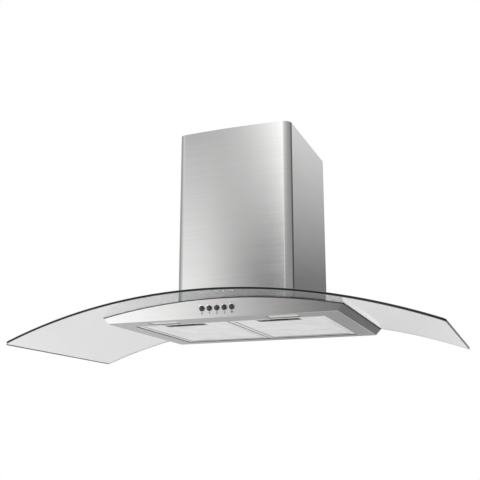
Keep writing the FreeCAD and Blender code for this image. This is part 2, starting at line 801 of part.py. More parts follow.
def make_buttons():
    """Round caps in the panel's holes, on square stems in the wells of the switch box."""
    cap_back = button_cap_length - button_proud
    for name, x in zip(button_names, button_positions()):
        cap = rod(V(x, -button_proud, 0), V(0, 1, 0), button_radius, button_cap_length)
        stem = square_bar(x, button_stem, cap_back, cap_back + button_stem_length)
        pieces[name] = on_front_panel(cap.fuse(stem))


def make_switch_box():
    """The box behind the panel: a space that the caps travel in, then the wells."""
    half = button_positions()[-1] + switch_margin
    wall = switch_wall
    side = switch_height / 2
    well_start = button_cap_length - button_proud + button_travel + moving_gap
    well_end = well_start + button_stem_length
    switch = box(-half, half, steel_sheet, well_end + wall, -side, side)
    switch = switch.cut(box(wall - half, half - wall, steel_sheet, well_start, wall - side,
                            side - wall))
    for x in button_positions():
        switch = switch.cut(square_bar(x, button_stem + 2 * moving_gap, well_start, well_end))
    pieces["switch_box"] = on_front_panel(switch)


# ---------------------------------------------------------------- lamps
def make_lamps():
    s = steel_sheet
    lens = lamp_window(lens_border, s, s + lens_thickness)
    outside = lens_border + lamp_wall
    holder = lamp_window(outside, s, s + lamp_holder_height)
    ceiling = s + lamp_holder_height - lamp_wall
    holder = holder.cut(lamp_window(lens_border, 0, ceiling))
    board = lamp_window(lens_border - moving_gap, ceiling - led_board_thickness, ceiling)
    for name, shape in (("lamp_lens", lens), ("lamp_holder", holder), ("led_board", board)):
        pieces[name + "_right"] = shape
        pieces[name + "_left"] = mirrored(shape)


# ---------------------------------------------------------------- grease filters
def filter_area(inset, z0, z1):
    """A block over the right-hand filter's plan, moved in by inset on every side."""
    half = filter_width / 2 - inset
    return box(filter_middle - half, filter_middle + half, inset - filter_front,
               -filter_back - inset, z0, z1)


def handle_cavity(growth):
    """The finger recess: wide at the filter's face, narrower at its floor."""
    face_half = handle_width / 2 + growth
    floor_half = handle_floor_width / 2 + growth
    low = filter_sheet
    high = low + handle_depth + growth
    y0 = -handle_front - growth
    points = [V(filter_middle - face_half, y0, low), V(filter_middle + face_half, y0, low),
              V(filter_middle + floor_half, y0, high), V(filter_middle - floor_half, y0, high)]
    return prism(points, V(0, handle_length + 2 * growth, 0))


def latch_block(growth):
    half = latch_width / 2 + growth
    return box(filter_middle - half, filter_middle + half,
               -filter_front - latch_nose, latch_reach - filter_front,
               latch_bottom - growth, latch_bottom + latch_thickness + growth)


def mesh_layers():
    """The layers of flattened mesh, held by their edges in the frame's channel."""
    low = filter_sheet
    high = filter_height - filter_sheet - mesh_layer_thickness
    layers = []
    for i in range(mesh_layer_count):
        z = low + (high - low) * i / (mesh_layer_count - 1)
        layers.append(filter_area(filter_sheet, z, z + mesh_layer_thickness))
    return Part.makeCompound(layers)


def make_filter():
    """The right-hand filter's pieces, built with its face at z = 0 and then set back."""
    t = filter_sheet
    h = filter_height
    block = filter_area(0, 0, h)
    hinge_edges = [e for e in block.Edges if max(v.Z for v in e.Vertexes) < t
                   and min(v.Y for v in e.Vertexes) > -filter_back - t]
    frame = block.makeFillet(filter_hinge_radius, hinge_edges).cut(filter_area(t, t, h - t))
    inset = filter_rim
    half = filter_width / 2 - inset
    window = rounded_plate(filter_middle - half, filter_middle + half, inset - filter_front,
                           -filter_back - inset, filter_window_radius, -1, h / 2)
    frame = frame.cut(window).cut(filter_area(inset, h / 2, h + 1))
    for side in (-1, 1):
        x = filter_middle + side * tongue_spacing / 2
        tongue = box(x - tongue_width / 2, x + tongue_width / 2, -filter_back - t / 2,
                     -filter_back + tongue_length, tongue_height,
                     tongue_height + tongue_thickness)
        frame = frame.fuse(tongue)
    frame = frame.cut(latch_block(moving_gap)).removeSplitter()
    mesh = mesh_layers().cut(handle_cavity(handle_sheet)).cut(latch_block(moving_gap))
    cavity = handle_cavity(0)
    cup = handle_cavity(handle_sheet).cut(cavity)
    flange = box(filter_middle - handle_width / 2 - handle_flange,
                 filter_middle + handle_width / 2 + handle_flange,
                 -handle_front, handle_length + handle_flange - handle_front,
                 t - handle_flange_sheet, t)
    mouth = box(filter_middle - handle_width / 2, filter_middle + handle_width / 2,
                -handle_front - 1, handle_length - handle_front, 0, t)
    cup = cup.fuse(flange.cut(mouth)).cut(latch_block(moving_gap)).removeSplitter()
    slider = latch_block(0)
    back = latch_reach - filter_front
    lip = box(filter_middle - latch_width / 2, filter_middle + latch_width / 2,
              back - latch_lip, back, latch_lip_height, latch_bottom)
    slider = slider.fuse(lip).removeSplitter()
    for name, shape in (("filter_frame", frame), ("filter_mesh", mesh),
                        ("filter_handle", cup), ("filter_latch", slider)):
        placed = shape.copy()
        placed.translate(V(0, 0, filter_recess))
        pieces[name + "_right"] = placed
        pieces[name + "_left"] = mirrored(placed)


def make_centre_bar():
    """The bar above the gap between the filters, stepped down onto the underside sheet."""
    half = centre_bar_width / 2
    low = filter_recess + filter_height + 2 * moving_gap
    high = low + deck_sheet
    front = -filter_opening_front - steel_sheet
    back = -filter_opening_back
    bar = box(-half, half, front - deck_sheet, back + deck_sheet, low, high)
    base = steel_sheet
    front_leg = box(-half, half, front - deck_sheet, front, base, high)
    back_leg = box(-half, half, back, back + deck_sheet, base, high)
    front_foot = box(-half, half, front - centre_bar_foot, front, base, base + deck_sheet)
    back_foot = box(-half, half, back, back + centre_bar_foot, base, base + deck_sheet)
    shape = bar.multiFuse([front_leg, back_leg, front_foot, back_foot])
    pieces["filter_centre_bar"] = shape.removeSplitter()


# ---------------------------------------------------------------- build and write
make_canopy_shell()
make_top_deck()
make_glass_seal()
make_glass()
make_lower_chimney()
make_upper_chimney()
make_chimney_bracket()
make_fan_housing()
make_volute()
make_fan_wheel()
make_motor()
make_motor_bracket()
make_outlet_collar()
make_flap_pin()
make_flaps()
make_terminal_box()
make_capacitor()
make_buttons()
make_switch_box()
make_lamps()
make_filter()
make_centre_bar()

os.makedirs("parts", exist_ok=True)
for name, shape in pieces.items():
    placed = shape.copy()
    placed.translate(V(0, 0, -wall_fixing_height))
    placed.exportStep("parts/" + name + ".step")
    size = placed.BoundBox
    print(name, len(placed.Solids), "solids", placed.isValid(), round(placed.Volume),
          [round(v, 1) for v in (size.XMin, size.XMax, size.YMin, size.YMax, size.ZMin, size.ZMax)])
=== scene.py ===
import json
import math

import bmesh
import bpy
from mathutils import Matrix, Vector

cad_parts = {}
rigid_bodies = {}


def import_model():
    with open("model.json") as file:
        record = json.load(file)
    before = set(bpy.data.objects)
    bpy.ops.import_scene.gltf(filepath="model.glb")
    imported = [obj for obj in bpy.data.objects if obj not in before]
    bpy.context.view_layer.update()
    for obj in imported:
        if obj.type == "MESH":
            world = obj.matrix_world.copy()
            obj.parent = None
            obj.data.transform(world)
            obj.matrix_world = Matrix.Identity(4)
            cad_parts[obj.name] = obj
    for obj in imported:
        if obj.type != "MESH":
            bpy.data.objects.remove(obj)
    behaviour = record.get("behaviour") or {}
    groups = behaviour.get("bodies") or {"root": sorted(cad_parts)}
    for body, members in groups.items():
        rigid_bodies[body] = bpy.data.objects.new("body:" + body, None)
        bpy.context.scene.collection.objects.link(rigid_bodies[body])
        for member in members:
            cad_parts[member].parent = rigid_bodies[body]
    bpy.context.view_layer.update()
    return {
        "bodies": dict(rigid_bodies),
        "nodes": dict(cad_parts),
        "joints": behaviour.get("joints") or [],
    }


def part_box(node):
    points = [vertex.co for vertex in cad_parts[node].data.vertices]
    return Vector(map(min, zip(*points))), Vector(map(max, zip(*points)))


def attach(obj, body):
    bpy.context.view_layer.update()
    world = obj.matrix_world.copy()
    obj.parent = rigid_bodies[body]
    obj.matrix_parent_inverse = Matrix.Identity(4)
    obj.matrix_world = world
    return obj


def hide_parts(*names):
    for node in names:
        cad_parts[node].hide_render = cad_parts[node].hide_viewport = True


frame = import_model()
nodes = frame["nodes"]

# Metres, in the frame's own axes: X to the right, Y into the wall, Z up.
# ------------------------------------------------------------------ camera
camera_place = Vector((0.6006, -1.8193, -0.4393))
camera_pitch = 0.25430
camera_yaw = 0.36208
camera_lens = 59.90

# ------------------------------------------------------------------ sizes of the added pieces
turn_steps = 64               # flats round a revolved piece
cap_skirt = 0.0075            # length of a button's round cap
cap_edge = 0.0007             # radius of its front edge
cap_dome = 0.0003             # how far its face is domed
stem_half = 0.003             # half the side of the square stem behind the cap
stem_overlap = 0.0001         # of the stem into the cap
stem_bevel = 0.0004
bezel_width = 0.0013
bezel_height = 0.0006
bezel_gap = 0.0002
bezel_rounding = 0.45         # radius of its edges, as a share of its height
icon_drop = 0.0100            # from a button's centre to its sign
icon_size = 0.0046
icon_line = 0.00075
icon_thickness = 0.00012
mesh_pitch_x = 0.0090
mesh_pitch_y = 0.0060
strand_width = 0.0013
strand_thickness = 0.0007
window_rim = 0.010            # of a filter's frame
lip_height = 0.008            # of the folded edges round the openings in the underside
glass_axis_z = -1.432         # of the axis that the glass is bent round
glass_middle_radius = 1.2845  # to the middle of the glass's thickness
glass_arris_start = 0.0020    # from there to where the edge's arrises turn lighter: partly paler ground glass, partly painted highlight
glass_arris_blur = 0.0002     # half the width of the change from the edge to its bevel
# Painted shade in crevices and gaps: its samples, its dark colour, and how far it reaches on
# steel and on the filters.
painted_shade_samples = 8
painted_shade_dark = (0.03, 0.03, 0.03)
steel_painted_shade_reach = 0.004
filter_painted_shade_reach = 0.006
steel_grain = 1400.0          # cells of noise in a metre, across the brushing
canopy_edge_rim = 0.012       # upright faces further in than this belong to its openings
frame_edge_rim = 0.004        # the same for a filter's frame

# ------------------------------------------------------------------ studio
floor_drop = 1.05             # below the canopy
floor_half = 4.0
floor_centre_y = -0.5
ambient_level = 0.45          # of the white world as a light
floor_level = 0.60            # what metal mirrors below all of the lists
# What metal and glass mirror of the studio, in pairs: the degrees from straight in front of
# the hood, positive towards +X, and the level there. Stops above 1 are soft boxes, and low
# ones dark cards. They were set one by one until the photo's view had the photo's tones.
ground_levels = [
    (-180, 0.55), (-165, 0.30), (-150, 0.20), (-110, 0.40), (-60, 0.50), (-42, 0.09),
    (0, 0.09), (20, 0.45), (100, 0.50), (180, 0.55)]
low_levels = [
    (-180, 1.00), (-174, 0.70), (-168, 0.34), (-153, 0.55), (-135, 0.58), (-110, 0.40),
    (-80, 0.45), (-55, 0.75), (-46, 0.85), (-38, 1.45), (-33, 1.62), (-25, 1.16),
    (-18, 0.44), (-13, 0.18), (-9, 0.08), (-4, 0.10), (10, 0.20), (60, 0.36),
    (105, 0.36), (120, 0.08), (154, 0.08), (160, 0.15), (172, 0.18), (180, 1.00)]
middle_levels = [
    (-180, 0.75), (-160, 0.65), (-150, 0.60), (-110, 0.40), (-80, 0.45), (-55, 0.75),
    (-46, 0.85), (-38, 1.25), (-28, 0.98), (-24, 0.76), (-18, 0.45), (-13, 0.26),
    (-8.4, 0.24), (-7, 1.60), (-3, 1.60), (3, 0.40), (10, 0.36), (105, 0.36),
    (130, 0.08), (154, 0.08), (160, 0.20), (172, 0.24), (180, 0.80)]
high_levels = [
    (-180, 0.80), (-150, 0.80), (-110, 0.45), (-80, 0.50), (-60, 0.80), (-45, 0.75),
    (-35, 0.46), (-30, 0.50), (-24, 0.62), (-18, 0.88), (-13, 1.22), (-9, 1.45),
    (-7.5, 2.40), (-4, 1.90), (5, 1.05), (26, 0.80), (47, 0.62), (68, 0.48),
    (90, 0.41), (111, 0.35), (133, 0.18), (150, 0.08), (156, 0.14), (163, 0.95),
    (172, 1.06), (180, 0.80)]
# The rise of a direction, from -1 for down to 1 for up, where one list gives way to the next.
low_to_middle = (-0.13, 0.10)
middle_to_high = (0.20, 0.42)
low_to_ground = (-0.24, -0.40)
ground_to_floor = (-0.44, -0.58)


# ------------------------------------------------------------------ node helpers
class Material:
    """A Principled material that is put together node by node."""

    def __init__(self, name, color, roughness, metallic=0.0, **sockets):
        self.data = bpy.data.materials.new(name)
        self.data.use_nodes = True
        self.tree = self.data.node_tree
        self.shader = self.tree.nodes["Principled BSDF"]
        self.shader.inputs["Base Color"].default_value = (*color, 1)
        self.shader.inputs["Roughness"].default_value = roughness
        self.shader.inputs["Metallic"].default_value = metallic
        for socket, value in sockets.items():
            self.shader.inputs[socket.replace("_", " ")].default_value = value

    def node(self, kind, settings=None, **inputs):
        made = self.tree.nodes.new(kind)
        for name, value in (settings or {}).items():
            setattr(made, name, value)
        for name, value in inputs.items():
            socket = made.inputs[int(name[1:])] if name[0] == "i" and name[1:].isdigit() \
                else made.inputs[name.replace("_", " ")]
            if isinstance(value, bpy.types.NodeSocket):
                self.tree.links.new(value, socket)
            else:
                socket.default_value = value
        return made

    def link(self, output, socket):
        self.tree.links.new(output, self.shader.inputs[socket])

    def place(self, stretch=(1, 1, 1)):
        """Object coordinates in metres, stretched to set the scale of a grain."""
        where = self.node("ShaderNodeTexCoord").outputs["Object"]
        return self.node("ShaderNodeMapping", Vector=where, Scale=stretch).outputs[0]

    def noise(self, stretch, detail=3.0, roughness=0.5):
        return self.node("ShaderNodeTexNoise", Vector=self.place(stretch), Scale=1.0,
                         Detail=detail, Roughness=roughness).outputs["Fac"]

    def range(self, value, low, high, start=0.0, end=1.0):
        return self.node("ShaderNodeMapRange", Value=value, From_Min=start, From_Max=end,
                         To_Min=low, To_Max=high).outputs[0]

    def bump(self, height, distance, strength):
        return self.node("ShaderNodeBump", Height=height, Distance=distance,
                         Strength=strength).outputs[0]

    def mix_color(self, factor, first, second):
        made = self.node("ShaderNodeMix", {"data_type": "RGBA"})
        for index, value in ((0, factor), (6, first), (7, second)):
            socket = made.inputs[index]
            if isinstance(value, bpy.types.NodeSocket):
                self.tree.links.new(value, socket)
            elif index:
                socket.default_value = (*value, 1)
            else:
                socket.default_value = value
        return made.outputs[2]

    def math(self, operation, first, second=0.0):
        return self.node("ShaderNodeMath", {"operation": operation},
                         i0=first, i1=second).outputs[0]

    def painted_crevice_shade(self, shade_reach, color):
        """Painted shade: a colour that turns dark where another surface stands close in front of
        it.
        """
        open_share = self.node("ShaderNodeAmbientOcclusion", {"samples": painted_shade_samples},
                               Distance=shade_reach).outputs["AO"]
        share = self.range(open_share, 0.0, 1.0, 0.25, 0.85)
        return self.mix_color(share, painted_shade_dark, color)

    def across(self, axis):
        """How squarely a face looks along one axis, from 0 to 1."""
        normal = self.node("ShaderNodeTexCoord").outputs["Normal"]
        parts = self.node("ShaderNodeSeparateXYZ", Vector=normal)
        return self.math("ABSOLUTE", parts.outputs[axis])


def brushed_steel(name, tone, roughness, anisotropy):
    """Steel brushed level: a fine grain, faint rolling bands, dull smudges and painted shade
    where other parts stand close.
    """
    made = Material(name, tone, roughness, metallic=1.0, Anisotropic=anisotropy)
    upright = made.noise((4.0, 4.0, steel_grain), detail=2.0)
    flat = made.noise((4.0, steel_grain, 4.0), detail=2.0)
    lies_flat = made.math("GREATER_THAN", made.across(2), 0.8)
    grain = made.range(lies_flat, upright, flat)
    streaks = made.noise((1.2, 1.2, 260.0), detail=4.0)
    smudges = made.noise((6.0, 6.0, 8.0), detail=4.0, roughness=0.6)
    rough = made.range(grain, roughness - 0.03, roughness + 0.03)
    rough = made.math("ADD", rough, made.range(smudges, -0.02, 0.03, 0.35, 0.7))
    made.link(rough, "Roughness")
    dark = [c * 0.92 for c in tone]
    shade = made.mix_color(made.range(grain, 0.0, 1.0, 0.3, 0.7), dark, tone)
    bands = made.range(streaks, 0.0, 0.30, 0.40, 0.75)
    banded = made.mix_color(bands, shade, dark)
    # Painted shade: the brushed colour turns dark where other parts stand close in front of it.
    made.link(made.painted_crevice_shade(steel_painted_shade_reach, banded), "Base Color")
    made.link(made.bump(grain, 0.00002, 0.06), "Normal")
    across_grain = made.node("ShaderNodeCombineXYZ", X=0.0, Y=-0.15, Z=1.0)
    made.link(across_grain.outputs[0], "Tangent")
    return made.data


def bent_glass():
    """Clear float glass: nearly colourless faces, and near-black edges with lighter bands along
    both arrises, partly paler ground glass and partly painted highlight.
    """
    made = Material("bent_glass", (0.98, 0.985, 0.982), 0.02, IOR=1.5)
    made.shader.inputs["Transmission Weight"].default_value = 1.0
    smears = made.noise((11.0, 11.0, 11.0), detail=5.0, roughness=0.6)
    made.link(made.range(smears, 0.0, 0.035, 0.45, 0.8), "Roughness")
    edge = Material("glass_edge", (0.01, 0.015, 0.014), 0.2, IOR=1.35)
    veins = edge.noise((40.0, 40.0, 900.0), detail=3.0)
    core = edge.mix_color(veins, (0.006, 0.010, 0.009), (0.012, 0.020, 0.018))
    place = edge.node("ShaderNodeSeparateXYZ", Vector=edge.place()).outputs
    rise = edge.math("ADD", place[2], -glass_axis_z)
    radius = edge.math("SQRT", edge.math("ADD", edge.math("MULTIPLY", place[0], place[0]),
                                         edge.math("MULTIPLY", rise, rise)))
    middle = edge.math("ABSOLUTE", edge.math("ADD", radius, -glass_middle_radius))
    # Lighter bands along both arrises: partly the paler ground glass, partly a painted highlight
    # of their bevel.
    ground_and_highlight = edge.range(middle, 0.0, 1.0, glass_arris_start - glass_arris_blur,
                        glass_arris_start + glass_arris_blur)
    edge.link(edge.mix_color(ground_and_highlight, core, (0.30, 0.33, 0.32)), "Base Color")
    edge.link(edge.range(ground_and_highlight, 0.18, 0.5), "Roughness")
    return made.data, edge.data


def moulded(name, color, roughness, grain=900.0, depth=0.00004, coat=0.0):
    """Plastic with a fine spark-eroded skin and slow changes of gloss and colour."""
    made = Material(name, color, roughness)
    made.shader.inputs["Coat Weight"].default_value = coat
    skin = made.noise((grain, grain, grain), detail=2.0)
    cloud = made.noise((18.0, 18.0, 18.0), detail=4.0)
    made.link(made.range(cloud, roughness - 0.06, roughness + 0.08, 0.3, 0.7), "Roughness")
    darker = [c * 0.88 for c in color]
    made.link(made.mix_color(made.range(cloud, 0.0, 1.0, 0.35, 0.7), color, darker),
              "Base Color")
    made.link(made.bump(skin, depth, 0.5), "Normal")
    return made.data


def galvanised():
    """Zinc-coated sheet with the flat crystals of its spangle."""
    made = Material("galvanised_sheet", (0.62, 0.63, 0.64), 0.38, metallic=1.0)
    cells = made.node("ShaderNodeTexVoronoi", Vector=made.place((90.0, 90.0, 90.0)), Scale=1.0)
    parts = made.node("ShaderNodeSeparateColor", Color=cells.outputs["Color"])
    tone = made.range(parts.outputs[0], 0.0, 1.0)
    made.link(made.mix_color(tone, (0.55, 0.56, 0.58), (0.70, 0.71, 0.72)), "Base Color")
    made.link(made.range(parts.outputs[1], 0.28, 0.48), "Roughness")
    made.link(made.bump(made.noise((60.0, 60.0, 60.0)), 0.0002, 0.15), "Normal")
    return made.data


def rubber():
    """Black sealing rubber, matt, with a fine skin."""
    made = Material("seal_rubber", (0.025, 0.025, 0.026), 0.7)
    skin = made.noise((1400.0, 1400.0, 1400.0), detail=2.0)
    made.link(made.range(skin, 0.6, 0.8), "Roughness")
    made.link(made.mix_color(made.noise((40.0, 40.0, 40.0)), (0.018, 0.018, 0.019),
                             (0.035, 0.035, 0.036)), "Base Color")
    made.link(made.bump(skin, 0.00006, 0.6), "Normal")
    return made.data


def aluminium(name, tone, roughness, metallic, shade_reach=0.0):
    """Rolled aluminium sheet, matt, with faint roll marks along Y.

    The last argument is how near another surface must stand for painted shade on it, none for
    the layers of mesh."""
    made = Material(name, (tone, tone, tone), roughness, metallic=metallic)
    marks = made.noise((1500.0, 12.0, 1500.0), detail=3.0)
    cloud = made.noise((25.0, 25.0, 25.0), detail=4.0)
    made.link(made.range(marks, roughness - 0.07, roughness + 0.07), "Roughness")
    low = tone * 0.9
    sheet = made.mix_color(made.range(cloud, 0.0, 1.0, 0.3, 0.7), (tone, tone, tone),
                           (low, low, low))
    # Painted shade near other surfaces, when a reach is given.
    made.link(made.painted_crevice_shade(shade_reach, sheet) if shade_reach else sheet, "Base Color")
    made.link(made.bump(marks, 0.00002, 0.4), "Normal")
    return made.data


def painted_shade_walls():
    """Painted shade: a dark, unbrushed sheet for the upright walls round the openings in the
    sheet metal, where shade falls in the gaps.
    """
    made = Material("painted_shade_wall", (0.07, 0.07, 0.07), 0.55, metallic=0.6)
    marks = made.noise((600.0, 600.0, 600.0), detail=3.0)
    made.link(made.range(marks, 0.45, 0.65), "Roughness")
    made.link(made.mix_color(marks, (0.05, 0.05, 0.05), (0.09, 0.09, 0.09)), "Base Color")
    return made.data


def cast_metal(name, color, roughness):
    """Painted castings and laminations, with a coarse skin."""
    made = Material(name, color, roughness, metallic=0.9)
    skin = made.noise((500.0, 500.0, 500.0), detail=4.0)
    cloud = made.noise((45.0, 45.0, 45.0), detail=3.0)
    made.link(made.range(cloud, roughness - 0.1, roughness + 0.1), "Roughness")
    darker = [c * 0.75 for c in color]
    made.link(made.mix_color(skin, color, darker), "Base Color")
    made.link(made.bump(skin, 0.0001, 0.4), "Normal")
    return made.data


def polished(name, tone, roughness):
    """Bright plated metal with slow changes of gloss."""
    made = Material(name, (tone, tone, tone), roughness, metallic=1.0)
    cloud = made.noise((80.0, 80.0, 80.0), detail=4.0)
    made.link(made.range(cloud, roughness * 0.6, roughness * 1.8), "Roughness")
    low = tone * 0.92
    made.link(made.mix_color(cloud, (tone, tone, tone), (low, low, low)), "Base Color")
    return made.data


def frosted_lens():
    """Milky lens with fine prism lines across it."""
    made = Material("lens_frosted", (0.62, 0.62, 0.61), 0.35)
    made.shader.inputs["Coat Weight"].default_value = 0.1
    made.shader.inputs["Subsurface Weight"].default_value = 0.2
    made.shader.inputs["Subsurface Scale"].default_value = 0.004
    lines = made.node("ShaderNodeTexWave", Vector=made.place(), Scale=160.0, Distortion=0.0)
    made.link(made.bump(lines.outputs["Fac"], 0.0003, 0.5), "Normal")
    cloud = made.noise((60.0, 60.0, 60.0))
    made.link(made.range(cloud, 0.28, 0.42), "Roughness")
    made.link(made.mix_color(cloud, (0.64, 0.64, 0.63), (0.58, 0.58, 0.57)), "Base Color")
    return made.data


def printed_ink():
    """The thin dark ink of the signs under the buttons."""
    made = Material("printed_ink", (0.03, 0.03, 0.035), 0.5)
    cloud = made.noise((900.0, 900.0, 900.0), detail=2.0)
    made.link(made.range(cloud, 0.4, 0.6), "Roughness")
    made.link(made.mix_color(cloud, (0.025, 0.025, 0.03), (0.05, 0.05, 0.055)), "Base Color")
    return made.data


# ------------------------------------------------------------------ mesh helpers
def piece(name, mesh, material, body, smooth=False):
    """A new object with one material, which moves with a body."""
    made = bpy.data.objects.new(name, mesh)
    bpy.context.scene.collection.objects.link(made)
    made.data.materials.append(material)
    if smooth:
        for face in mesh.polygons:
            face.use_smooth = True
    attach(made, body)
    return made


def revolved(name, profile, place):
    """A closed profile of (radius, height) points turned about the local Z axis."""
    work = bmesh.new()
    rings = []
    for i in range(turn_steps):
        turn = 2 * math.pi * i / turn_steps
        rings.append([work.verts.new(place @ Vector((r * math.cos(turn), r * math.sin(turn), h)))
                      for r, h in profile])
    count = len(profile)
    for i in range(turn_steps):
        first, second = rings[i], rings[(i + 1) % turn_steps]
        for k in range(count):
            n = (k + 1) % count
            work.faces.new((first[k], second[k], second[n], first[n]))
    bmesh.ops.remove_doubles(work, verts=work.verts, dist=1e-7)
    bmesh.ops.dissolve_degenerate(work, edges=work.edges, dist=1e-8)
    bmesh.ops.recalc_face_normals(work, faces=work.faces)
    mesh = bpy.data.meshes.new(name)
    work.to_mesh(mesh)
    work.free()
    return mesh


def arc(centre_r, centre_h, radius, start, end, steps):
    """Points of a rounding in a (radius, height) profile, angles in degrees."""
    points = []
    for i in range(steps + 1):
        turn = math.radians(start + (end - start) * i / steps)
        points.append((centre_r + radius * math.cos(turn), centre_h + radius * math.sin(turn)))
    return points


# ------------------------------------------------------------------ push buttons
def inward():
    """The way a button travels when it is pressed."""
    for joint in frame["joints"]:
        if joint["name"] == "button_off_press":
            return Vector(joint["axis"]).normalized()
    raise ValueError("the record has no joint for the first button")


def button_place(name):
    """The middle of a cap's front face, with local Z pointing out of the panel."""
    low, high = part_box(name)
    push = inward()
    radius = (high.x - low.x) / 2
    upright = Vector((0, -push.z, push.y))
    centre = Vector(((low.x + high.x) / 2, low.y + radius * push.z, low.z + radius * push.y))
    turn = Matrix((Vector((1, 0, 0)), upright, -push)).transposed().to_4x4()
    return Matrix.Translation(centre) @ turn, radius


def button_length(name):
    """How deep the whole button is, measured along the way it travels."""
    push = inward()
    depths = [v.co.dot(push) for v in nodes[name].data.vertices]
    return max(depths) - min(depths)


def make_button(name, material):
    """A button: its round cap with a rounded edge, and the square stem behind it."""
    place, radius = button_place(name)
    depth = button_length(name)
    round_edge = arc(radius - cap_edge, -cap_edge - cap_dome, cap_edge, 0, 90, 6)
    crown = [(radius * 0.55, -cap_dome * 0.35), (radius * 0.25, -cap_dome * 0.08), (0.0, 0.0)]
    profile = [(0.0, -cap_skirt), (radius, -cap_skirt)] + round_edge + crown
    mesh = revolved(name + "_cap", profile, place)
    work = bmesh.new()
    work.from_mesh(mesh)
    middle = Matrix.Translation((0, 0, stem_overlap - (cap_skirt + depth) / 2))
    size = Matrix.Diagonal((2 * stem_half, 2 * stem_half, depth - cap_skirt, 1))
    stem = bmesh.ops.create_cube(work, size=1.0, matrix=place @ middle @ size)
    sides = {e for v in stem["verts"] for e in v.link_edges}
    bmesh.ops.bevel(work, geom=list(sides), offset=stem_bevel, segments=2, affect="EDGES")
    work.to_mesh(mesh)
    work.free()
    made = piece(name + "_cap", mesh, material, name, smooth=True)
    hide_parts(name)
    return place, radius


def stands_out(place):
    """How far the cap stands out of the panel, which lies square to the way it travels."""
    push = inward()
    panel = min(v.co.dot(push) for v in nodes["canopy_shell"].data.vertices)
    return panel - place.translation.dot(push)


def make_bezel(name, place, radius, proud, material):
    """The light ring that lies on the panel round a button."""
    inner = radius + bezel_gap
    outer = inner + bezel_width
    edge = bezel_height * bezel_rounding
    low = -proud
    profile = [(inner, low), (outer, low)]
    profile += arc(outer - edge, low + bezel_height - edge, edge, 0, 90, 4)
    profile += arc(inner + edge, low + bezel_height - edge, edge, 90, 180, 4)
    mesh = revolved(name + "_bezel", profile, place)
    piece(name + "_bezel", mesh, material, "canopy", smooth=True)


def bar(work, place, start, end, width, thickness):
    """A flat stroke of a sign, from start to end in the panel's plane."""
    a, b = Vector((*start, 0)), Vector((*end, 0))
    along = (b - a).normalized()
    side = Vector((-along.y, along.x, 0)) * width / 2
    corners = [a - side, b - side, b + side, a + side]
    up = Vector((0, 0, thickness))
    low = [work.verts.new(place @ c) for c in corners]
    top = [work.verts.new(place @ (c + up)) for c in corners]
    work.faces.new(top)
    work.faces.new(list(reversed(low)))
    for i in range(4):
        n = (i + 1) % 4
        work.faces.new((low[i], low[n], top[n], top[i]))


def ring_strokes(centre, rx, ry, count, start=0.0, sweep=360.0):
    """The strokes of a ring or of a part of one, angles in degrees."""
    points = []
    for i in range(count + 1):
        turn = math.radians(start + sweep * i / count)
        points.append((centre[0] + rx * math.cos(turn), centre[1] + ry * math.sin(turn)))
    return list(zip(points, points[1:]))


def sign_strokes(name):
    """The strokes of one button's plain sign, in parts of the sign's height."""
    if name == "button_off":
        return ring_strokes((0, 0), 0.30, 0.45, 16)
    if name == "button_speed_1":
        return [((0, -0.45), (0, 0.45)), ((0, 0.45), (-0.2, 0.22))]
    if name == "button_speed_2":
        return ring_strokes((0, 0.2), 0.26, 0.25, 8, 170, -200) + \
            [((0.21, 0.06), (-0.28, -0.42)), ((-0.28, -0.42), (0.3, -0.42))]
    if name == "button_speed_3":
        return ring_strokes((0, 0.21), 0.25, 0.22, 8, 150, -240) + \
            ring_strokes((0, -0.21), 0.28, 0.23, 8, 90, -250)
    rays = []
    for i in range(8):
        turn = math.radians(45 * i)
        rays.append(((0.34 * math.cos(turn), 0.34 * math.sin(turn)),
                     (0.52 * math.cos(turn), 0.52 * math.sin(turn))))
    return ring_strokes((0, 0), 0.2, 0.2, 12) + rays


def make_sign(name, place, proud, material):
    """A button's plain sign, printed on the panel below it."""
    work = bmesh.new()
    spot = place @ Matrix.Translation((0, -icon_drop, -proud))
    for start, end in sign_strokes(name):
        bar(work, spot, [c * icon_size for c in start], [c * icon_size for c in end],
            icon_line, icon_thickness)
    mesh = bpy.data.meshes.new(name + "_sign")
    work.to_mesh(mesh)
    work.free()
    piece(name + "_sign", mesh, material, "canopy")


# ------------------------------------------------------------------ filter mesh
def expanded_mesh(name, area, cut_out, z, body, material):
    """One layer of expanded metal: a sheet of diamonds, without the handle's place."""
    (x0, y0), (x1, y1) = area
    columns = int((x1 - x0) / mesh_pitch_x)
    rows = int((y1 - y0) / mesh_pitch_y)
    step_x = (x1 - x0) / columns
    step_y = (y1 - y0) / rows
    work = bmesh.new()

    def corner(i, j):
        return (x0 + step_x * i / 2, y0 + step_y * j / 2)

    points = {}

    def vertex(i, j):
        if (i, j) not in points:
            x, y = corner(i, j)
            points[i, j] = work.verts.new((x, y, z))
        return points[i, j]

    for i in range(2 * columns + 1):
        for j in range(2 * rows + 1):
            x, y = corner(i, j)
            inside = cut_out[0][0] < x < cut_out[1][0] and cut_out[0][1] < y < cut_out[1][1]
            if (i + j) % 2 == 0 or inside:
                continue
            around = [(i - 1, j), (i, j - 1), (i + 1, j), (i, j + 1)]
            work.faces.new([vertex(a, b) for a, b in around
                            if 0 <= a <= 2 * columns and 0 <= b <= 2 * rows])
    mesh = bpy.data.meshes.new(name)
    work.to_mesh(mesh)
    work.free()
    made = piece(name, mesh, material, body)
    strands = made.modifiers.new("strands", "WIREFRAME")
    strands.thickness = strand_width
    strands.use_boundary = True
    strands.use_even_offset = False


def in_opening(place, node_box, rim):
    """Whether a place is low in a node and further than rim from its sides, in plan."""
    low, high = node_box
    within_x = low.x + rim < place.x < high.x - rim
    within_y = low.y + rim < place.y < high.y - rim
    return within_x and within_y and place.z < low.z + lip_height


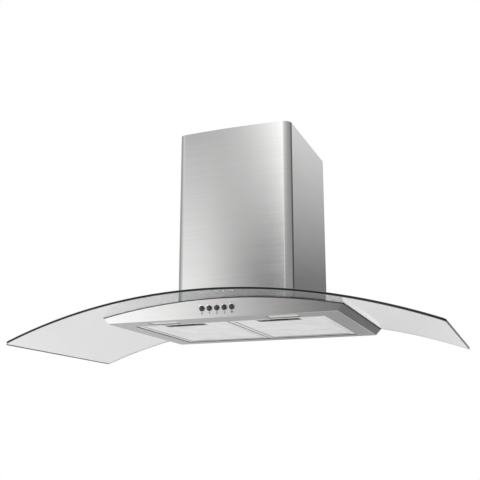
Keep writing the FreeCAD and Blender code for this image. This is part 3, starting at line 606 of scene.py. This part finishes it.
# ------------------------------------------------------------------ light and camera
def soft_light(name, place, aim, size, power):
    """A soft box for the matt surfaces: what metal reflects is the world's business."""
    data = bpy.data.lights.new(name, "AREA")
    data.shape = "RECTANGLE"
    data.size, data.size_y = size
    data.energy = power
    made = bpy.data.objects.new(name, data)
    bpy.context.scene.collection.objects.link(made)
    made.location = place
    made.rotation_euler = (Vector(aim) - Vector(place)).to_track_quat("-Z", "Y").to_euler()
    made.visible_glossy = False


def make_world():
    """A white studio: white for the camera and through glass, dimmer as a light.

    What metal and glass mirror isn't that white. It changes with the compass direction, like
    the soft boxes and dark cards of a product studio: ground_levels well below the horizon,
    low_levels just below it, middle_levels a little above it, high_levels further up, and
    floor_level far below."""
    world = bpy.data.worlds.new("studio")
    bpy.context.scene.world = world
    world.use_nodes = True
    tree = world.node_tree
    shade = tree.nodes["Background"]
    shade.inputs["Color"].default_value = (1, 1, 1, 1)

    def add(kind, settings, *values):
        made = tree.nodes.new(kind)
        for name, value in settings.items():
            setattr(made, name, value)
        for socket, value in zip(made.inputs, values):
            if isinstance(value, bpy.types.NodeSocket):
                tree.links.new(value, socket)
            else:
                socket.default_value = value
        return made

    def ramp(stops):
        made = add("ShaderNodeValToRGB", {}, turn)
        marks = made.color_ramp.elements
        while len(marks) < len(stops):
            marks.new(0.5)
        for mark, (degrees, level) in zip(marks, stops):
            mark.position = degrees / 360 + 0.5
            mark.color = (level, level, level, 1)
        return made.outputs[0]

    def blend(share, low, high):
        return add("ShaderNodeMapRange", {}, share, 0.0, 1.0, low, high).outputs[0]

    def passed(start, end):
        return add("ShaderNodeMapRange", {}, parts[2], start, end, 0.0, 1.0).outputs[0]

    aim = add("ShaderNodeTexCoord", {}).outputs["Generated"]
    parts = add("ShaderNodeSeparateXYZ", {}, aim).outputs
    ahead = add("ShaderNodeMath", {"operation": "MULTIPLY"}, parts[1], -1.0).outputs[0]
    angle = add("ShaderNodeMath", {"operation": "ARCTAN2"}, parts[0], ahead).outputs[0]
    turn = add("ShaderNodeMapRange", {}, angle, -math.pi, math.pi, 0.0, 1.0).outputs[0]
    studio = blend(passed(*low_to_middle), ramp(low_levels), ramp(middle_levels))
    studio = blend(passed(*middle_to_high), studio, ramp(high_levels))
    studio = blend(passed(*low_to_ground), studio, ramp(ground_levels))
    studio = blend(passed(*ground_to_floor), studio, floor_level)
    rays = tree.nodes.new("ShaderNodeLightPath").outputs
    plain = add("ShaderNodeMath", {"operation": "MAXIMUM"}, rays["Is Camera Ray"],
                rays["Is Transmission Ray"]).outputs[0]
    level = blend(rays["Is Glossy Ray"], ambient_level, studio)
    tree.links.new(blend(plain, level, 1.0), shade.inputs["Strength"])


def make_floor(z):
    """A plain pale floor, which metal and glass don't mirror."""
    made = Material("studio_floor", (0.90, 0.90, 0.89), 0.6)
    cloud = made.noise((1.5, 1.5, 1.5))
    made.link(made.mix_color(cloud, (0.91, 0.91, 0.90), (0.88, 0.88, 0.87)), "Base Color")
    work = bmesh.new()
    bmesh.ops.create_grid(work, x_segments=8, y_segments=8, size=floor_half)
    bmesh.ops.translate(work, verts=work.verts, vec=(0, floor_centre_y, z))
    mesh = bpy.data.meshes.new("floor")
    work.to_mesh(mesh)
    work.free()
    floor = bpy.data.objects.new("floor", mesh)
    floor.data.materials.append(made.data)
    floor.visible_glossy = False
    bpy.context.scene.collection.objects.link(floor)


def make_camera():
    data = bpy.data.cameras.new("camera")
    data.lens = camera_lens
    data.clip_end = 50
    made = bpy.data.objects.new("camera", data)
    bpy.context.scene.collection.objects.link(made)
    made.location = camera_place
    made.rotation_euler = (math.pi / 2 + camera_pitch, 0, camera_yaw)
    bpy.context.scene.camera = made
    bpy.context.scene.view_settings.view_transform = "Standard"


# ------------------------------------------------------------------ put together
steel = brushed_steel("brushed_steel", (0.76, 0.76, 0.755), 0.13, 0.55)
# A dark sheet painted as the shade on the upright walls round the openings and round the
# filters' frames.
shade_wall_sheet = painted_shade_walls()
glass_face, glass_edge = bent_glass()
zinc_sheet = galvanised()
seal = rubber()
# The filters' aluminium, with painted shade where other parts stand close.
filter_sheet = aluminium("filter_aluminium", 0.84, 0.42, 0.35, shade_reach=filter_painted_shade_reach)
# The handle cups, painted dark aluminium as the shade inside their recess.
handle_painted_shade = aluminium("handle_painted_shade", 0.26, 0.42, 0.35)
filter_strands = aluminium("filter_strands", 0.84, 0.42, 0.35)
# The layer under the lattice: a darker copy of the strands' aluminium, painted as the shade
# between the layers of mesh.
filter_backing_painted_shade = aluminium("filter_backing_painted_shade", 0.72, 0.5, 0.3)
black = moulded("black_plastic", (0.035, 0.035, 0.04), 0.45)
gloss_black = moulded("button_plastic", (0.03, 0.03, 0.035), 0.22, depth=0.00001, coat=0.4)
white = moulded("white_plastic", (0.82, 0.82, 0.80), 0.4)
grey = moulded("grey_plastic", (0.35, 0.36, 0.37), 0.42)
chrome = polished("bezel_chrome", 0.85, 0.08)
zinc = polished("zinc_plate", 0.66, 0.28)
motor_skin = cast_metal("motor_skin", (0.28, 0.28, 0.29), 0.45)
board = moulded("lamp_board", (0.85, 0.85, 0.83), 0.5, grain=300.0)
lens = frosted_lens()
ink = printed_ink()

materials = {
    "canopy_shell": steel, "chimney_lower": steel, "chimney_upper": steel,
    "filter_centre_bar": steel, "glass_seal": seal, "top_deck": zinc_sheet,
    "fan_housing": zinc_sheet, "chimney_bracket": zinc_sheet, "motor_bracket": zinc_sheet,
    "volute_left": black, "volute_right": black, "outlet_collar": black, "flap_front": black,
    "flap_rear": black, "switch_box": black, "filter_latch_left": black,
    "filter_latch_right": black, "fan_wheel": grey, "cable_gland": grey, "motor": motor_skin,
    "motor_shaft": zinc, "flap_pin": zinc, "terminal_box": white, "terminal_box_cover": white,
    "terminal_block": white, "capacitor": white, "lamp_holder_left": white,
    "lamp_holder_right": white, "lamp_lens_left": lens, "lamp_lens_right": lens,
    "led_board_left": board, "led_board_right": board, "filter_frame_left": filter_sheet,
    "filter_frame_right": filter_sheet, "filter_handle_left": handle_painted_shade,
    "filter_handle_right": handle_painted_shade, "filter_mesh_left": filter_backing_painted_shade,
    "filter_mesh_right": filter_backing_painted_shade,
}
for name, material in materials.items():
    nodes[name].data.materials.clear()
    nodes[name].data.materials.append(material)

pane = nodes["glass_canopy"].data
pane.materials.clear()
pane.materials.append(glass_face)
pane.materials.append(glass_edge)
for face in pane.polygons:
    face.material_index = 0 if abs(face.normal.z) > 0.5 else 1

# Painted shade: the upright walls round the openings in the underside and round the filters'
# frames get the dark sheet.
for name, rim in (("canopy_shell", canopy_edge_rim), ("filter_frame_left", frame_edge_rim),
                  ("filter_frame_right", frame_edge_rim)):
    sheet = nodes[name].data
    sheet.materials.append(shade_wall_sheet)
    for face in sheet.polygons:
        if abs(face.normal.z) < 0.5 and in_opening(face.center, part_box(name), rim):
            face.material_index = 1

for name in [b for b in frame["bodies"] if b.startswith("button_")]:
    spot, cap_radius = make_button(name, gloss_black)
    proud = stands_out(spot)
    make_bezel(name, spot, cap_radius, proud, chrome)
    make_sign(name, spot, proud, ink)

for side in ("left", "right"):
    low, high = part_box("filter_frame_" + side)
    cup_low, cup_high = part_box("filter_handle_" + side)
    sheet_low, sheet_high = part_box("filter_mesh_" + side)
    inner = window_rim + strand_width / 2
    expanded_mesh("filter_lattice_" + side,
                  ((low.x + inner, low.y + inner), (high.x - inner, sheet_high.y - inner)),
                  ((cup_low.x, low.y), (cup_high.x, cup_high.y + mesh_pitch_y / 2)),
                  sheet_low.z - strand_thickness / 2, "filter_" + side, filter_strands)

make_world()
make_floor(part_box("canopy_shell")[0].z - floor_drop)
soft_light("key", (-1.9, -2.3, 1.3), (0, -0.2, 0), (1.4, 1.4), 45)
soft_light("below", (-0.1, -0.75, -1.05), (-0.1, -0.749, 0), (1.7, 1.5), 10)
soft_light("strip", (-0.45, -3.0, 1.0), (0, -0.2, 0.05), (0.35, 1.6), 10)
make_camera()
